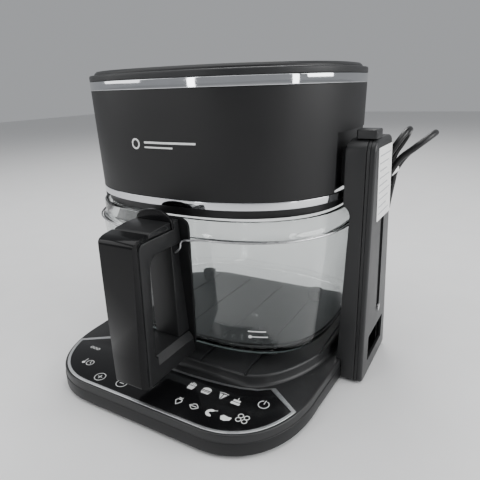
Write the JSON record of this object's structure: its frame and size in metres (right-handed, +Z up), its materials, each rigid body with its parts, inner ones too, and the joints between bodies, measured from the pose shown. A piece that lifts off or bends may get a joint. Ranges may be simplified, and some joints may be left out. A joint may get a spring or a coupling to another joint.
{
  "type": "air fryer",
  "caption": "Countertop air fryer with a heating head on two side columns, a touch panel and a clear glass bowl with a loop handle that slides out in front.",
  "frame": {"origin": "middle of the footprint at the level of the table", "axes": "+Z up, -Y towards the handle and the touch panel, +X to the right seen from the front"},
  "size_m": [0.3301, 0.2813, 0.2813],
  "materials": {
    "black_plastic": "fine moulded texture",
    "bright_band": "mirror polish",
    "circuit_board": "green solder mask",
    "clear_glass": "clear, faint green edge",
    "copper": "drawn",
    "gloss_black": "polished",
    "head_coating": "fine matte powder coat",
    "label_paper": "white film",
    "panel_border": "satin silver",
    "rubber": "soft matte",
    "steel": "satin"
  },
  "bodies": {
    "base": {"air_duct": "steel", "base_cover": "black_plastic", "base_screw_1": "steel", "base_screw_2": "steel", "base_screw_3": "steel", "base_screw_4": "steel", "base_tray": "black_plastic", "cap_rim": "black_plastic", "column_cover_left": "black_plastic", "column_cover_right": "black_plastic", "column_frame_left": "black_plastic", "column_frame_right": "black_plastic", "column_screw_left": "steel", "column_screw_right": "steel", "cord_hank": "rubber", "cord_lead_in": "rubber", "cord_lead_out": "rubber", "cord_tie": "label_paper", "fan_motor": "steel", "head_body": "head_coating", "head_lid": "black_plastic", "head_lug_left": "black_plastic", "head_lug_right": "black_plastic", "head_screw_left": "steel", "head_screw_right": "steel", "head_skirt": "black_plastic", "heat_reflector": "steel", "heater_coil": "steel", "heater_guard": "steel", "lower_band": "bright_band", "motor_bracket": "steel", "panel_trim": "panel_border", "plug": "rubber", "power_board": "circuit_board", "rating_label": "label_paper", "rubber_foot_1": "rubber", "rubber_foot_2": "rubber", "rubber_foot_3": "rubber", "rubber_foot_4": "rubber", "seat_platform": "black_plastic", "strain_relief": "rubber", "temperature_probe": "copper", "touch_board": "circuit_board", "touch_panel": "gloss_black", "upper_band": "bright_band", "wiring_harness": "rubber"},
    "bowl": {"bowl_foot_1": "rubber", "bowl_foot_2": "rubber", "bowl_foot_3": "rubber", "bowl_foot_4": "rubber", "glass_bowl": "clear_glass", "grip_front": "gloss_black", "handle_body": "black_plastic", "handle_bracket": "black_plastic", "handle_screw": "steel", "handle_top": "black_plastic", "hoop_wire": "steel", "thumb_tab": "gloss_black"},
    "fan": {"fan_blade": "steel", "motor_shaft": "steel"}
  },
  "joints": [
    {"name": "bowl_slide", "type": "slide", "parent": "base", "child": "bowl", "axis": [0, -1, 0], "range_m": [0, 0.23]},
    {"name": "fan_spin", "type": "hinge", "parent": "base", "child": "fan", "pos_m": [0, 0.0286, 0.206], "axis": [0, 0, 1], "continuous": true}
  ]
}
